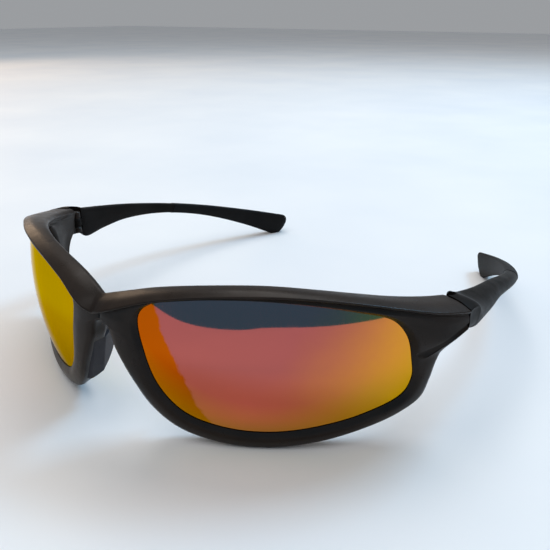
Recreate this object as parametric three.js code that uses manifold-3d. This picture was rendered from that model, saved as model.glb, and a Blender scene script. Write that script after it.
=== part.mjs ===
// Wraparound sport sunglasses, unfolded and resting on the lower rims and the temple tips.
// Millimetres, +Z up, +X towards the wearer's left, +Y from the front towards the temple tips.
//
// The front of the glasses is a shell round one sphere, because both lenses and the frame between
// them follow the same wrap. Points on the front are therefore given as (a, b, r): the angle a round
// from the nose towards the left temple, the elevation b, and the distance r from the wrap centre.
import * as THREE from "three";
import { mergeVertices } from "three/addons/utils/BufferGeometryUtils.js";
import Module from "manifold-3d";

// ---- driving dimensions -------------------------------------------------------------------------
const WRAP_CENTRE = new THREE.Vector3(0, 73, 25);
const RIM_FRONT = 72; // front face of the rims, from the wrap centre
const RIM_BACK = 67.2;
const RIM_CROWN = 0.35; // how far the rim's front face bulges between its edges
const LIP = 0.15; // from the lens's front face to the front lip of the groove
const BEVEL = 1.1; // width of the bevel round the front of each lens opening
const EDGE = 0.8; // rounding of the rim's outer edges
const GROOVE_PLAY = 0.12; // free space on each face of the lens in its groove
const GROOVE_DEPTH = 0.95;

const LENS_FACE = 71; // the lens's front face, from the wrap centre
const LENS_THICKNESS = 1.9;
const LENS_MIDDLE = [33, -3.5];
const LENS_BITE = 0.6; // how far the lens's edge reaches into the groove
const LENS_RINGS = 4;
const LENS_CENTRE_RING = 0.03; // size of the lens's innermost ring, as a share of its outline

const SEAM_ANGLE = 67.3; // the radial plane where the end piece meets the temple
const SEAM_GAP = 0.3;
const HINGE = { x: 61.9, y: 48.8, pin: 0.62, bore: 0.74, lug: 1.55, well: 1.9, inset: 0.9 };
const WEBS = { front: { reach: -3.6, width: 0.4 }, temple: { reach: 2.8, width: 1.55 } };
const LUG_LEVELS = { bottom: 24.3, low: 26, high: 29.2, top: 31.2 }; // the temple's lug between
const WASHER = { thickness: 0.34, play: 0.06 };
const SCREW_HEAD = { radius: 1.15, height: 0.7, slot: 0.3 };
const NUT = { radius: 1.1, height: 0.9 };

const GRIP_START = 0.6; // share of the temple's length where the ear grip begins
const GRIP_GAP = 0.003; // between the temple's moulding and the grip, as a share of the length
// The temple's tongue inside the grip: its size as a share of the section, where it ends, the free
// space round it, and the free space past its end as a share of the temple's length.
const TONGUE = { share: 0.5, end: 0.93, play: 0.2, clear: 0.01 };
const PAD_DEPTH = 1.9;
const PAD_PLAY = 0.12;
const FLOOR_FLATS = 0; // the rims' and the grips' undersides are cut flat here

const COLOURS = {
  frame: { color: 0x2b2622, roughness: 0.45, metalness: 0 },
  lens: { color: 0xc8501e, roughness: 0.05, metalness: 0.6 },
  rubber: { color: 0x36363a, roughness: 0.8, metalness: 0 },
  steel: { color: 0x8c8c90, roughness: 0.3, metalness: 1 },
  brass: { color: 0xb08d4a, roughness: 0.35, metalness: 1 },
  nylon: { color: 0x1e1e20, roughness: 0.6, metalness: 0 },
};

// ---- outlines of the left half --------------------------------------------------------------------
// The lens opening as (a, b), from its upper nose corner along the top and back under the lens.
const OPENING = [
  [8.2, 5.6], [11, 8.1], [19, 9.8], [28, 10.3], [37, 9.6], [46, 7.8], [53, 5.4], [56, 1.9],
  [57.4, -3], [58, -7], [56.6, -10.4], [50, -13.2], [42, -15.2], [32, -16.6], [23, -16],
  [15.6, -13.4], [11.2, -8.2], [9, -1.4],
];
// The lower outline as (a, b), from the seam forward under the lens and up the nose to the bridge.
const LOWER_EDGE = [
  [71, 2.4], [67.5, 1.3], [64.6, -1.1], [62.9, -4.3], [62.1, -8], [61, -12], [57, -14.7],
  [49, -17.4], [39, -19.8], [29, -20.75], [20, -19.7], [13.4, -17.3], [9, -13.2], [6.2, -8.4],
  [4, -4.2], [2.7, -1.4], [2.1, 0.8], [1.3, 2.3], [0, 2.8],
];
// The brow's ridge, its overhanging front edge, and its rear edge, as (a, b, r).
const RIDGE = [
  [0, 4.9, 74.4], [2, 5.6, 74.9], [4, 6.3, 74.6], [10, 8.4, 73.1], [18, 10.1, 72.4], [26, 10.9, 72.4],
  [33, 11.05, 72.7], [40, 10.5, 72.9], [47, 9.4, 73.5], [54, 7.8, 74.2], [60, 6.3, 75],
  [65.5, 5.2, 75.1], [71, 4.2, 74.6],
];
const BROW_REAR = [
  [0, 7.8, 69.9], [4.5, 9, 68.2], [10, 10.4, 67.3], [18, 11.7, 67.1], [27, 12.4, 67.2],
  [33, 12.3, 67.1], [40, 11.5, 66.8], [47, 10.3, 66.5], [54, 8.9, 66.5], [62, 7.4, 66.5],
  [71, 5.9, 66.5],
];
// The temple's inner face: its top and bottom edges (x, y, z), and the thickness outwards of it.
const TEMPLE_TOP = [
  [61.5, 47, 32.7], [61.4, 51, 31.7], [63.2, 62, 29.7], [64, 76, 27], [64, 95, 22.5],
  [59.2, 114, 17.7], [51.4, 133, 12.2], [41.1, 150, 6.9],
];
const TEMPLE_BOTTOM = [
  [61.2, 47, 22.3], [61.2, 51, 21.6], [63, 62, 22], [64, 74, 22], [64, 93, 19.2],
  [60, 111, 14.5], [53, 129.5, 6.9], [44.7, 146, -1.9],
];
const TEMPLE_THICKNESS = [8.5, 8.3, 5.9, 4.4, 3.9, 3.9, 3.9, 3.9];
// Cross-sections as shares of the thickness and of the height, from the inner face over the top.
const HINGE_SECTION = [
  [0, 0.1], [0, 0.3], [0, 0.5], [0, 0.7], [0, 0.93], [0.06, 1], [0.45, 0.99], [0.86, 0.93],
  [0.97, 0.86], [1, 0.78], [0.98, 0.64], [0.94, 0.48], [0.86, 0.34], [0.6, 0.2], [0.3, 0.09],
  [0.06, 0],
];
const TEMPLE_SECTION = [
  [0, 0.1], [-0.04, 0.3], [-0.06, 0.5], [-0.04, 0.7], [0, 0.9], [0.12, 0.98], [0.4, 0.97],
  [0.67, 0.89], [0.87, 0.74], [0.98, 0.57], [1, 0.42], [0.93, 0.27], [0.77, 0.13], [0.53, 0.04],
  [0.28, 0], [0.08, 0.02],
];
// The end of the temple at the seam, as (r, z) in the order of the cross-sections below.
const SEAM_SECTION = [
  [66.2, 25], [66.2, 26.6], [66.2, 28.4], [66.2, 30.2], [66.2, 32.2], [66.7, 32.67], [71.3, 32.6],
  [73.5, 32], [74.67, 31.62], [74.5, 31.25], [74.45, 30], [74.5, 27.9], [74.1, 26.8],
  [72.8, 26], [69.5, 25.3], [66.8, 24.6],
];
// The nose pad's nose-facing side by height: (z, front y, rear y).
const PAD_SECTIONS = [
  [25, 2.6, 9], [24, 2.2, 11.6], [21.8, 2, 13], [21.5, 2, 13.2], [17.8, 2.8, 14.2],
  [15.2, 3.3, 14.6], [12.8, 3.8, 14.5], [10.6, 4.3, 13.4], [9, 4.7, 10.8], [8.2, 5.1, 8],
];

// ---- small helpers ------------------------------------------------------------------------------
const wasm = await Module();
wasm.setup();
const { degToRad, lerp, smoothstep } = THREE.MathUtils;

function onWrap(a, b, r) {
  const level = r * Math.cos(degToRad(b));
  return new THREE.Vector3(
    WRAP_CENTRE.x + level * Math.sin(degToRad(a)),
    WRAP_CENTRE.y - level * Math.cos(degToRad(a)),
    WRAP_CENTRE.z + r * Math.sin(degToRad(b)),
  );
}

// A closed three.js geometry as a solid that can be joined and cut.
function solid(geometry) {
  const bare = new THREE.BufferGeometry();
  bare.setAttribute("position", geometry.getAttribute("position"));
  if (geometry.index) bare.setIndex(geometry.index);
  const merged = mergeVertices(bare, 1e-4);
  return new wasm.Manifold(
    new wasm.Mesh({
      numProp: 3,
      vertProperties: new Float32Array(merged.attributes.position.array),
      triVerts: new Uint32Array(merged.index.array),
    }),
  );
}

function geometryOf(manifold) {
  const { numProp, vertProperties, triVerts, numVert } = manifold.getMesh();
  const positions = new Float32Array(numVert * 3);
  for (let i = 0; i < numVert; i++) {
    positions.set(vertProperties.subarray(i * numProp, i * numProp + 3), i * 3);
  }
  const geometry = new THREE.BufferGeometry();
  geometry.setAttribute("position", new THREE.BufferAttribute(positions, 3));
  geometry.setIndex(new THREE.BufferAttribute(new Uint32Array(triVerts), 1));
  geometry.computeVertexNormals();
  return geometry;
}

const unite = (...solids) => solids.reduce((sum, next) => sum.add(next));
const cut = (from, ...tools) => tools.reduce((left, tool) => left.subtract(tool), from);

// A fan of triangles that closes a ring of points, turned one way or the other.
function cap(points, base, across, flip) {
  const middle = new THREE.Vector3();
  for (let k = 0; k < across; k++) middle.addScaledVector(points[base + k], 1 / across);
  const hub = points.push(middle) - 1;
  const faces = [];
  for (let k = 0; k < across; k++) {
    const here = base + k;
    const next = base + ((k + 1) % across);
    faces.push(...(flip ? [hub, next, here] : [hub, here, next]));
  }
  return faces;
}

// A closed surface through rings of points, capped at both ends or closed back on the first ring.
function skin(rings, closed = false) {
  const across = rings[0].length;
  const points = rings.flat();
  const faces = [];
  const last = closed ? rings.length : rings.length - 1;
  for (let i = 0; i < last; i++) {
    const next = (i + 1) % rings.length;
    for (let k = 0; k < across; k++) {
      const side = (k + 1) % across;
      faces.push(i * across + k, i * across + side, next * across + side);
      faces.push(i * across + k, next * across + side, next * across + k);
    }
  }
  if (!closed) {
    faces.push(...cap(points, 0, across, true), ...cap(points, last * across, across, false));
  }
  const geometry = new THREE.BufferGeometry().setFromPoints(points);
  geometry.setIndex(faces);
  if (solid(geometry).volume() < 0) {
    geometry.setIndex(faces.map((_, i) => faces[i - (i % 3) + [0, 2, 1][i % 3]]));
  }
  return solid(geometry);
}

function box(low, high) {
  const size = high.map((v, i) => v - low[i]);
  const geometry = new THREE.BoxGeometry(...size);
  geometry.translate(...low.map((v, i) => v + size[i] / 2));
  return solid(geometry);
}

// A round bar standing on the hinge's axis.
function onHinge(radius, low, high, sides = 20) {
  const geometry = new THREE.CylinderGeometry(radius, radius, high - low, sides);
  geometry.rotateX(Math.PI / 2).translate(HINGE.x, HINGE.y, (low + high) / 2);
  return solid(geometry);
}

function curve(points, closed = false) {
  const at = points.map(([x, y, z = 0]) => new THREE.Vector3(x, y, z));
  return new THREE.CatmullRomCurve3(at, closed, "centripetal");
}

// The point of an outline that runs along a, at a given a.
function atAngle(points, a) {
  const line = curve(points).getPoints(200);
  const found = line.findIndex((p) => p.x >= a);
  const after = found < 0 ? line.length - 1 : Math.max(1, found);
  const share = (a - line[after - 1].x) / (line[after].x - line[after - 1].x);
  return new THREE.Vector3().lerpVectors(line[after - 1], line[after], share);
}

// ---- rims ---------------------------------------------------------------------------------------
// Pairs of [opening point, outline point] round the left lens. Both loops are walked between the same
// stops, so that the lines between them don't cross.
const UNDER_RIDGE = 0.35; // the rims' outline lies this far above the ridge line, behind the brow
const UNDERCUT = 0.88; // where the rims' face meets the brow's underside, as a share of the width
const BROW = { edge: 0.15, lift: 0.35, crown: 0.6, summit: 0.45, rounding: 0.8, heel: [0.9, 0.7] };
const NARROW = 0.25; // a bevel takes at most this share of the rim's width
const CORNER = 0.293; // how far in the middle of a rounded edge lies, as a share of its radius
const FACE_SHARES = [0.35, 0.55, 0.75]; // points of a section across the front face
const BACK_SHARES = [0.7, 0.4]; // points of a section across the rear face
const EDGE_POINTS = 7; // points of a section round its outer end
const REAR_LIP = { height: 0.6, inset: 0.1, rounding: 0.2 }; // behind the lens, round the opening
const PAST_MIDDLE = -0.2; // the left half runs just past the middle, so that the halves join
const LOOP_POINTS = 300;
const STEPS = { top: 22, seam: 4, corner: 9, under: 36, bridge: 3 };
const OPENING_STOPS = [[8.2, 5.6], [54.6, 4.2], [56.6, 0.6], [57.3, -9.2], [8.6, 1.5]];
const OUTLINE_CORNER = [62.1, -8];

// Points along a curve from one stop to the next, the last one left out.
function walk(points, from, to, steps, closed = false) {
  const loop = curve(points, closed).getSpacedPoints(LOOP_POINTS);
  const nearest = ([a, b]) => {
    const gaps = loop.map((p) => Math.hypot(p.x - a, p.y - b));
    return gaps.indexOf(Math.min(...gaps));
  };
  const start = nearest(from);
  const length = nearest(to) - start;
  const whole = closed && length < 0 ? length + LOOP_POINTS : length;
  return Array.from({ length: steps }, (_, i) => {
    const { x, y } = loop[(start + Math.round((whole * i) / steps)) % (LOOP_POINTS + 1)];
    return [x, y];
  });
}

function openingLoop() {
  return Object.values(STEPS).flatMap((steps, i) => {
    const next = OPENING_STOPS[(i + 1) % OPENING_STOPS.length];
    return walk(OPENING, OPENING_STOPS[i], next, steps, true);
  });
}

function outerLoop() {
  const top = RIDGE.map(([a, b]) => [a, b + UNDER_RIDGE]);
  const bridgeTop = [PAST_MIDDLE, top[0][1]];
  const bridgeLow = [PAST_MIDDLE, LOWER_EDGE.at(-1)[1]];
  const seam = [top.at(-1), LOWER_EDGE[0]];
  return [
    bridgeTop,
    ...walk(top, top[0], top.at(-1), STEPS.top).slice(1),
    ...walk(seam, ...seam, STEPS.seam),
    ...walk(LOWER_EDGE, LOWER_EDGE[0], OUTLINE_CORNER, STEPS.corner),
    ...walk(LOWER_EDGE, OUTLINE_CORNER, LOWER_EDGE.at(-1), STEPS.under),
    ...walk([bridgeLow, bridgeTop], bridgeLow, bridgeTop, STEPS.bridge),
  ];
}

function rimPairs() {
  const outer = outerLoop();
  return openingLoop().map((from, i) => [from, outer[i]]);
}

const rimWidth = ([from, to]) => degToRad(Math.hypot(to[0] - from[0], to[1] - from[1])) * RIM_FRONT;

// The direction (a, b) part of the way from the opening to the outline: a share of it, plus mm.
function between([from, to], share, mm) {
  const t = share + mm / rimWidth([from, to]);
  return [lerp(from[0], to[0], t), lerp(from[1], to[1], t)];
}

// How far the arm towards the temple swells out from the rims' own face, above the lower rim.
const swell = (a, b) => 2.4 * smoothstep(a, 48, 66) * smoothstep(b, -3.2, 1.5);

// The rear face, which moves inwards where the end piece takes the hinge. Its underside drops by up
// to an angle towards the rear, on points of the outline below an elevation.
const END_PIECE = { inner: 61, from: 59, to: 67, drop: 1, upTo: 4 };
function backFace(a) {
  const inner = END_PIECE.inner / Math.sin(degToRad(SEAM_ANGLE));
  return lerp(RIM_BACK, inner, smoothstep(a, END_PIECE.from, END_PIECE.to));
}

// The outer end of a rim section, from its front face round to its rear face.
function roundedEdge(pair) {
  const [a, b] = pair[1];
  const front = RIM_FRONT + swell(a, b);
  const back = backFace(a);
  const full = END_PIECE.drop * smoothstep(a, END_PIECE.from, END_PIECE.to);
  const drop = b < END_PIECE.upTo ? full : 0;
  const steps = [
    [-EDGE, front, 0],
    [-EDGE * CORNER, front - EDGE * CORNER, 0],
    [0, front - EDGE, 0],
    [0, lerp(front, back, 0.5), 0.4],
    [0, back + EDGE, 0.8],
    [-EDGE * CORNER, back + EDGE * CORNER, 1],
    [-EDGE, back, 1],
  ];
  return steps.map(([mm, r, share]) => {
    const [x, y] = between(pair, 1, mm);
    return onWrap(x, y - drop * share, r);
  });
}

// The outer end of a section through the brow: under its ridge, over its top and down its rear.
function browEdge(pair) {
  const a = pair[1][0];
  const { y: ridge, z: front } = atAngle(RIDGE, a);
  const { y: rear, z: back } = atAngle(BROW_REAR, a);
  const [below, inside] = BROW.heel;
  return [
    onWrap(...between(pair, UNDERCUT, 0), RIM_FRONT + swell(a, ridge)),
    onWrap(a, ridge - BROW.edge, front - BROW.edge),
    onWrap(a, ridge + BROW.edge, front),
    onWrap(a, lerp(ridge, rear, 0.5) + BROW.lift, lerp(front, back, BROW.summit) + BROW.crown),
    onWrap(a, rear, back + BROW.rounding),
    onWrap(a, rear - BROW.edge, back),
    onWrap(a, rear - below, back - inside),
  ];
}

// A flat end of the left half, where the middle or the temple cuts through it.
function flatEnd([a, b]) {
  const front = RIM_FRONT + swell(a, b);
  return Array.from({ length: EDGE_POINTS }, (_, i) => {
    return onWrap(a, b, lerp(front, backFace(a), i / (EDGE_POINTS - 1)));
  });
}

function rimSection(pair, index) {
  const place = (share, mm, r) => onWrap(...between(pair, share, mm), r);
  const face = (share) => {
    const crown = RIM_CROWN * 4 * share * (1 - share);
    return place(share, 0, RIM_FRONT + swell(...between(pair, share, 0)) + crown);
  };
  const back = (share) => place(share, 0, backFace(between(pair, share, 0)[0]));
  const grooveBack = LENS_FACE - LENS_THICKNESS - GROOVE_PLAY;
  const narrow = NARROW * rimWidth(pair);
  return [
    place(0, 0, LENS_FACE + LIP),
    place(0, Math.min(BEVEL, narrow), RIM_FRONT + swell(...pair[0])),
    ...FACE_SHARES.map(face),
    ...outerEnd(pair, index),
    ...BACK_SHARES.map(back),
    place(0, Math.min(EDGE, narrow), RIM_BACK - REAR_LIP.rounding),
    place(0, REAR_LIP.inset, grooveBack - REAR_LIP.height),
    place(0, REAR_LIP.inset, grooveBack),
    place(0, GROOVE_DEPTH, grooveBack),
    place(0, GROOVE_DEPTH, LENS_FACE + GROOVE_PLAY),
    place(0, 0, LENS_FACE + GROOVE_PLAY),
  ];
}

function outerEnd(pair, index) {
  const { top, seam, corner, under } = STEPS;
  if (index <= top) return browEdge(pair);
  if (index < top + seam) return flatEnd(pair[1]);
  return index > top + seam + corner + under ? flatEnd(pair[1]) : roundedEdge(pair);
}

const rimPlate = () => skin(rimPairs().map(rimSection), true);

// The groove that runs from beside the lens up towards the temple: (a, b, half its width). Its floor
// lies nearer its upper edge than its lower one.
const GROOVE_LINE = [
  [57.6, -2.1, 0.2], [58.1, -2, 0.8], [59.4, -1.7, 0.9], [61, -1, 0.85], [62.4, -0.1, 0.75],
  [63.9, 0.9, 0.65], [65.6, 1.8, 0.55], [69.5, 3, 0.45],
];
const GROOVE = { depth: 0.75, slant: 0.45, clear: 0.2, floorFrom: 0.2, floorTo: 0.5 };

function grooveSection([a, b, half]) {
  const face = ([x, y]) => RIM_FRONT + swell(x, y) + GROOVE.clear;
  const high = [a - half * GROOVE.slant, b + half];
  const low = [a + half * GROOVE.slant, b - half];
  const floor = face([a, b]) - GROOVE.depth * Math.min(1, half + 0.1);
  return [
    onWrap(...high, face(high) + 1),
    onWrap(...high, face(high)),
    onWrap(...between([high, low], GROOVE.floorFrom, 0), floor),
    onWrap(...between([high, low], GROOVE.floorTo, 0), floor),
    onWrap(...low, face(low)),
    onWrap(...low, face(low) + 1),
  ];
}

const stylingGroove = () => skin(GROOVE_LINE.map(grooveSection));

const CLEARING = 200; // size of a block that cuts everything on one side of a plane

// Everything behind the seam's radial plane, moved back by an offset.
function behindSeam(offset) {
  const geometry = new THREE.BoxGeometry(CLEARING, CLEARING, CLEARING);
  geometry.translate(CLEARING / 2 + offset, 0, 0).rotateZ(degToRad(SEAM_ANGLE));
  geometry.translate(WRAP_CENTRE.x, WRAP_CENTRE.y, WRAP_CENTRE.z);
  return solid(geometry);
}

// ---- hinge --------------------------------------------------------------------------------------
// Three moulded lugs on one axis: the end piece's above and below, the temple's between them.
const lugHeights = [
  [LUG_LEVELS.bottom, LUG_LEVELS.low],
  [LUG_LEVELS.high, LUG_LEVELS.top],
];
const WASHER_SPACE = WASHER.thickness + 2 * WASHER.play;
const templeLug = [LUG_LEVELS.low + WASHER_SPACE, LUG_LEVELS.high - WASHER_SPACE];
const ABOVE = LUG_LEVELS.top + 5;
const BELOW = LUG_LEVELS.bottom - 5;
const hingeWell = () => onHinge(HINGE.well, BELOW, ABOVE);
const hingeBore = () => onHinge(HINGE.bore, BELOW, ABOVE);

// A lug with the web that joins it to its own piece: it reaches forwards or backwards along Y.
function lug([low, high], { reach, width }) {
  const web = [HINGE.y, HINGE.y + reach].sort((p, q) => p - q);
  return unite(
    onHinge(HINGE.lug, low, high),
    box([HINGE.x - HINGE.inset, web[0], low], [HINGE.x + width, web[1], high]),
  );
}

const SUNK = 0.2; // the screw's head lies this far below the top of its lug
const FIT = 0.06; // free space round the screw's head, the nut and the screw in the nut
const headLevel = LUG_LEVELS.top - SCREW_HEAD.height - SUNK;

function hingeScrew() {
  const head = onHinge(SCREW_HEAD.radius, headLevel, headLevel + SCREW_HEAD.height);
  const pin = onHinge(HINGE.pin, LUG_LEVELS.bottom + 0.1, headLevel + 0.1, 14);
  const half = SCREW_HEAD.slot / 2;
  const top = headLevel + SCREW_HEAD.height;
  const slot = box(
    [HINGE.x - 2, HINGE.y - half, top - SCREW_HEAD.slot],
    [HINGE.x + 2, HINGE.y + half, top + 1],
  );
  return cut(unite(head, pin), slot);
}

function ring(outer, inner, low, high) {
  return cut(onHinge(outer, low, high), onHinge(inner, low - 1, high + 1, 14));
}

const nutLevel = LUG_LEVELS.bottom + 0.15;
const hingeNut = () => ring(NUT.radius, HINGE.pin + FIT, nutLevel, nutLevel + NUT.height);

function hingeWasher(low) {
  return ring(HINGE.lug - 0.1, HINGE.bore, low + WASHER.play, low + WASHER.play + WASHER.thickness);
}

function hingeSockets() {
  return [
    hingeBore(),
    onHinge(SCREW_HEAD.radius + 0.1, headLevel - FIT, ABOVE),
    onHinge(NUT.radius + FIT, BELOW, nutLevel + NUT.height + FIT),
  ];
}

// ---- nose pads ----------------------------------------------------------------------------------
// The nose-facing side leans outwards towards the bottom, and its rear part flares away. Above the
// shoulder the pad is thinner, where it runs into the bridge.
const PAD_LEAN = 0.46;
const PAD_FLARE = 0.5;
const PAD_SHOULDER = { level: 21.65, depth: 0.55 };
const padFace = (z) => 14 - PAD_LEAN * z + (z > PAD_SHOULDER.level ? PAD_SHOULDER.depth : 0);
const padCrease = (z) => lerp(6.4, 8.4, (20.2 - z) / 8);

function padSection([z, front, rear], index, grow) {
  const x = padFace(z);
  const bend = Math.min(padCrease(z), rear - 0.6);
  const out = (rear - bend) * PAD_FLARE;
  const lift = index === 0 ? grow : index === PAD_SECTIONS.length - 1 ? -grow : 0;
  const point = (dx, y) => new THREE.Vector3(x + dx, y, z + lift);
  return [
    point(0.4 - grow, front - grow),
    point(-grow, front + 0.5),
    point(-grow, bend),
    point(out - grow, rear - 0.25),
    point(out + 0.45, rear + grow),
    point(out + 0.95 + grow, rear - 0.35),
    point(PAD_DEPTH + grow, bend - 0.4),
    point(PAD_DEPTH + grow, front + 0.4),
    point(PAD_DEPTH - 0.4 + grow, front - grow),
  ];
}

const nosePad = (grow = 0) => skin(PAD_SECTIONS.map((row, i) => padSection(row, i, grow)));

// ---- front --------------------------------------------------------------------------------------
const floor = () => box([-CLEARING, -CLEARING, -CLEARING], [CLEARING, CLEARING, FLOOR_FLATS]);

function biggest(made) {
  return made.decompose().sort((p, q) => q.volume() - p.volume())[0];
}

function frontHalf() {
  const shaped = cut(rimPlate(), behindSeam(-SEAM_GAP / 2), stylingGroove());
  const ended = cut(shaped, hingeWell(), nosePad(PAD_PLAY));
  const hinged = unite(ended, ...lugHeights.map((heights) => lug(heights, WEBS.front)));
  return cut(hinged, ...hingeSockets());
}

function frontFrame() {
  const half = frontHalf();
  return biggest(cut(unite(half, half.mirror([1, 0, 0])), floor()));
}

// ---- lens ---------------------------------------------------------------------------------------
function lens() {
  const outline = rimPairs().map((pair) => between(pair, 0, LENS_BITE));
  const shares = Array.from({ length: LENS_RINGS }, (_, i) => {
    return lerp(LENS_CENTRE_RING, 1, i / (LENS_RINGS - 1));
  });
  const ringAt = (share, depth) => {
    return outline.map((edge) => {
      const a = lerp(LENS_MIDDLE[0], edge[0], share);
      const b = lerp(LENS_MIDDLE[1], edge[1], share);
      return onWrap(a, b, LENS_FACE - depth);
    });
  };
  const front = shares.map((share) => ringAt(share, 0));
  const back = shares.map((share) => ringAt(share, LENS_THICKNESS)).reverse();
  return skin([...front, ...back]);
}

// ---- temple -------------------------------------------------------------------------------------
const TEMPLE_STEPS = 30;
const TIP = 0.97; // share of the temple's length where its tip starts to round off
// The temple leaves the seam as a continuation of the front: over this share of its length, and from
// this far ahead of the seam to this far behind it.
const SEAM_BLEND = { from: 0.03, to: 0.2, first: -1, last: 7.6 };
// Over this share of its length the cross-section changes from the hinge's to the slender one.
const SHAPE_BLEND = { from: 0.08, to: 0.34 };
const TIP_STATIONS = [0.985, 0.993, 0.998, 1];
const TIP_LEAST = 0.06; // keeps the last section from shrinking to a point
const SOCKET_LEAD = 0.04; // the tongue and its socket start this far ahead of the ear grip

// The end at the seam, moved back from it by an offset.
function seamSection(offset) {
  const turn = degToRad(SEAM_ANGLE);
  return SEAM_SECTION.map(([r, z]) => {
    const x = WRAP_CENTRE.x + r * Math.sin(turn);
    return new THREE.Vector3(x, WRAP_CENTRE.y - r * Math.cos(turn) + offset, z);
  });
}

function templeSection(t) {
  const top = curve(TEMPLE_TOP).getPoint(t);
  const bottom = curve(TEMPLE_BOTTOM).getPoint(t);
  const along = curve(TEMPLE_TOP).getTangent(t);
  const outwards = new THREE.Vector3(along.y, -along.x, 0).normalize();
  const place = t * (TEMPLE_THICKNESS.length - 1);
  const step = Math.min(Math.floor(place), TEMPLE_THICKNESS.length - 2);
  const thickness = lerp(TEMPLE_THICKNESS[step], TEMPLE_THICKNESS[step + 1], place - step);
  const blend = smoothstep(t, SHAPE_BLEND.from, SHAPE_BLEND.to);
  const fromSeam = seamSection(lerp(SEAM_BLEND.first, SEAM_BLEND.last, t / SEAM_BLEND.to));
  const section = HINGE_SECTION.map(([u, v], i) => {
    const share = lerp(v, TEMPLE_SECTION[i][1], blend);
    const depth = lerp(u, TEMPLE_SECTION[i][0], blend) * thickness;
    const point = new THREE.Vector3().lerpVectors(bottom, top, share);
    point.addScaledVector(outwards, depth);
    return point.lerp(fromSeam[i], 1 - smoothstep(t, SEAM_BLEND.from, SEAM_BLEND.to));
  });
  const tip = Math.max(0, (t - TIP) / (1 - TIP));
  return shrunk(section, Math.sqrt(Math.max(TIP_LEAST, 1 - tip * tip)), 0);
}

// A section scaled towards its middle, then grown by a distance.
function shrunk(section, share, grow) {
  const middle = new THREE.Vector3();
  section.forEach((p) => middle.addScaledVector(p, 1 / section.length));
  return section.map((p) => {
    const arm = p.clone().sub(middle);
    return arm.setLength(arm.length() * share + grow).add(middle);
  });
}

function loft(from, to, share = 1, grow = 0) {
  const steps = Math.ceil((to - from) * TEMPLE_STEPS);
  const stations = Array.from({ length: steps + 1 }, (_, i) => lerp(from, to, i / steps));
  if (to === 1) stations.splice(-1, 1, ...TIP_STATIONS);
  return skin(stations.map((t) => shrunk(templeSection(t), share, grow)));
}

function temple() {
  const blade = loft(0, GRIP_START).intersect(behindSeam(SEAM_GAP / 2));
  const hinged = unite(cut(blade, hingeWell()), lug(templeLug, WEBS.temple));
  const tongue = loft(GRIP_START - SOCKET_LEAD, TONGUE.end, TONGUE.share);
  return cut(unite(hinged, tongue), hingeBore());
}

function earGrip() {
  const start = GRIP_START - SOCKET_LEAD;
  const hole = loft(start, TONGUE.end + TONGUE.clear, TONGUE.share, TONGUE.play);
  return cut(loft(GRIP_START + GRIP_GAP, 1), hole, floor());
}

// ---- assembly -----------------------------------------------------------------------------------
const glasses = new THREE.Group();
const ORIGIN_Y = 74.475; // halfway from the front to the temple tips

function addMesh(name, made, finish) {
  const mesh = new THREE.Mesh(geometryOf(made), new THREE.MeshStandardMaterial(COLOURS[finish]));
  mesh.name = name;
  glasses.add(mesh);
}

const leftPieces = {
  lens: [lens(), "lens"],
  nose_pad: [nosePad(), "rubber"],
  temple: [temple(), "frame"],
  ear_grip: [earGrip(), "rubber"],
  hinge_screw: [hingeScrew(), "steel"],
  hinge_nut: [hingeNut(), "brass"],
  hinge_washer_lower: [hingeWasher(LUG_LEVELS.low), "nylon"],
  hinge_washer_upper: [hingeWasher(LUG_LEVELS.high - WASHER_SPACE), "nylon"],
};

addMesh("front_frame", frontFrame(), "frame");
for (const [name, [made, finish]] of Object.entries(leftPieces)) {
  addMesh(name + "_left", made, finish);
  addMesh(name + "_right", made.mirror([1, 0, 0]), finish);
}
glasses.position.y = -ORIGIN_Y;

export default glasses;
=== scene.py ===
"""Wraparound sport sunglasses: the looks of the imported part, in metres, in the part's own frame."""

import math

import bmesh
import bpy
import numpy as np
from mathutils import Matrix, Vector


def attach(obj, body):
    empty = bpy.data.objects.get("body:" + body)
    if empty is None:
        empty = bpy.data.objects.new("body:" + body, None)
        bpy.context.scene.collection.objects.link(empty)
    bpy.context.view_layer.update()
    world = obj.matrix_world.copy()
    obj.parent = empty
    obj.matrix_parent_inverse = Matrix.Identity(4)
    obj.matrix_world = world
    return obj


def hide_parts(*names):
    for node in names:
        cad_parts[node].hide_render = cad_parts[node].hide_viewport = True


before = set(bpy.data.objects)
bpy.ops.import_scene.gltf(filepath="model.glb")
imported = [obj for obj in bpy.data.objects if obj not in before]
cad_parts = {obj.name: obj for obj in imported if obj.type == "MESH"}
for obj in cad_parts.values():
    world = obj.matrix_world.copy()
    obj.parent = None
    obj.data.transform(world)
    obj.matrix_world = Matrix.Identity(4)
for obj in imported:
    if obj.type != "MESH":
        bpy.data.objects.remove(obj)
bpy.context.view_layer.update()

# ---- the part's own dimensions, in millimetres and degrees ----
MM = 0.001
WRAP_CENTRE = np.array([0.0, 73.0, 25.0])
ORIGIN_Y = 74.475
RIM_FRONT, RIM_BACK, RIM_CROWN = 72.0, 67.2, 0.35
LIP, BEVEL, EDGE = 0.15, 1.1, 0.8
GROOVE_PLAY, GROOVE_DEPTH = 0.12, 0.95
LENS_FACE, LENS_THICKNESS, LENS_BITE = 71.0, 1.9, 0.6
LENS_MIDDLE = np.array([33.0, -3.5])
SEAM_ANGLE, SEAM_GAP = 67.3, 0.3
HINGE_X, HINGE_Y = 61.9, 48.8
BORE, LUG, LUG_CHAMFER, WELL, INSET = 0.74, 1.55, 0.12, 1.9, 0.9
FRONT_WEB, TEMPLE_WEB = (-3.6, 0.4), (2.8, 1.55)
LUG_BOTTOM, LUG_LOW, LUG_HIGH, LUG_TOP = 24.3, 26.0, 29.2, 31.2
WASHER, WASHER_PLAY = 0.34, 0.06
HEAD_RADIUS, HEAD_HEIGHT, HEAD_SINK, HEAD_PLAY = 1.15, 0.7, 0.2, 0.1
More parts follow.
